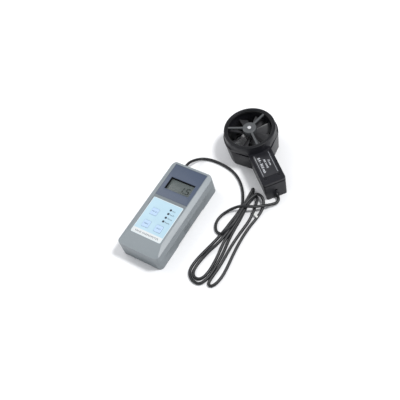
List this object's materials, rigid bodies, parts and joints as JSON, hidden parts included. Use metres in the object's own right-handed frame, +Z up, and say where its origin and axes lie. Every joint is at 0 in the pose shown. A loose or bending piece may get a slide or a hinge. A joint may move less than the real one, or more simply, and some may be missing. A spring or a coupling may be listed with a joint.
{
  "type": "vane anemometer",
  "caption": "Hand-held meter with display and keypad, joined by a folded cable to a ducted vane probe on a short handle; the vane spins, keys press, battery cover slides.",
  "frame": {"origin": "middle of the base of the box around the meter and the probe, on the surface they lie on", "axes": "+Z up; +Y along the meter, towards the end its cable leaves; +X across the meter, towards the probe's handle"},
  "size_m": [0.1586, 0.263, 0.0486],
  "materials": {
    "case_grey": "fine spark-eroded texture, satin",
    "display_blue": "printed polyester, semi-gloss",
    "window_clear": "clear acrylic",
    "lcd": "reflective liquid crystal glass",
    "keypad_blue": "printed polyester, matte",
    "key_lilac": "printed polyester, matte",
    "board_green": "solder mask",
    "component_black": "moulded epoxy",
    "inner_plastic": "natural moulded plastic",
    "steel": "bright zinc",
    "battery_jacket": "printed steel jacket",
    "probe_black": "fine texture, soft sheen",
    "vane_grey": "thin moulded plastic, satin",
    "bridge_grey": "moulded plastic, satin",
    "label_black": "printed plate",
    "jewel": "polished",
    "cable_black": "smooth sheath",
    "tie_white": "paper-covered wire",
    "magnet": "plated"
  },
  "bodies": {
    "root": {"front_case": "case_grey", "back_case": "case_grey", "display_panel": "display_blue", "window_lens": "window_clear", "lcd_glass": "lcd", "lcd_frame": "inner_plastic", "lcd_connectors": "component_black", "keypad_overlay": "keypad_blue", "main_board": "board_green", "board_components": "component_black", "key_switches": "component_black", "case_screws": "steel", "board_screws": "steel", "battery": "battery_jacket", "battery_snap": "component_black", "meter_grommet": "cable_black", "probe_front_shell": "probe_black", "probe_rear_shell": "probe_black", "probe_grommet": "cable_black", "probe_label": "label_black", "probe_screws": "steel", "front_bridge": "bridge_grey", "rear_bridge": "bridge_grey", "front_pivot_screw": "steel", "rear_pivot_screw": "steel", "front_jewel": "jewel", "rear_jewel": "jewel", "pickup_sensor": "component_black", "probe_board": "board_green", "probe_board_components": "component_black", "cable_meter_run": "cable_black", "cable_probe_run": "cable_black", "cable_hank": "cable_black", "hank_tie": "tie_white"},
    "vane": {"vane": "vane_grey", "vane_axle": "steel", "vane_magnet": "magnet"},
    "hold_key": {"hold_key": "key_lilac"},
    "max_min_key": {"max_min_key": "key_lilac"},
    "unit_key": {"unit_key": "key_lilac"},
    "battery_cover": {"battery_cover": "case_grey"}
  },
  "joints": [
    {"name": "vane_spin", "type": "hinge", "parent": "root", "child": "vane", "pos_m": [-0.0003, 0.0932, 0.031], "axis": [0, 0, 1], "continuous": true},
    {"name": "hold_key_press", "type": "slide", "parent": "root", "child": "hold_key", "axis": [0, 0, -1], "range_m": [0, 0.0004], "stiffness_N_per_m": 2500},
    {"name": "max_min_key_press", "type": "slide", "parent": "root", "child": "max_min_key", "axis": [0, 0, -1], "range_m": [0, 0.0004], "stiffness_N_per_m": 2500},
    {"name": "unit_key_press", "type": "slide", "parent": "root", "child": "unit_key", "axis": [0, 0, -1], "range_m": [0, 0.0004], "stiffness_N_per_m": 2500},
    {"name": "battery_cover_slide", "type": "slide", "parent": "root", "child": "battery_cover", "axis": [0, -1, 0], "range_m": [0, 0.036]}
  ]
}
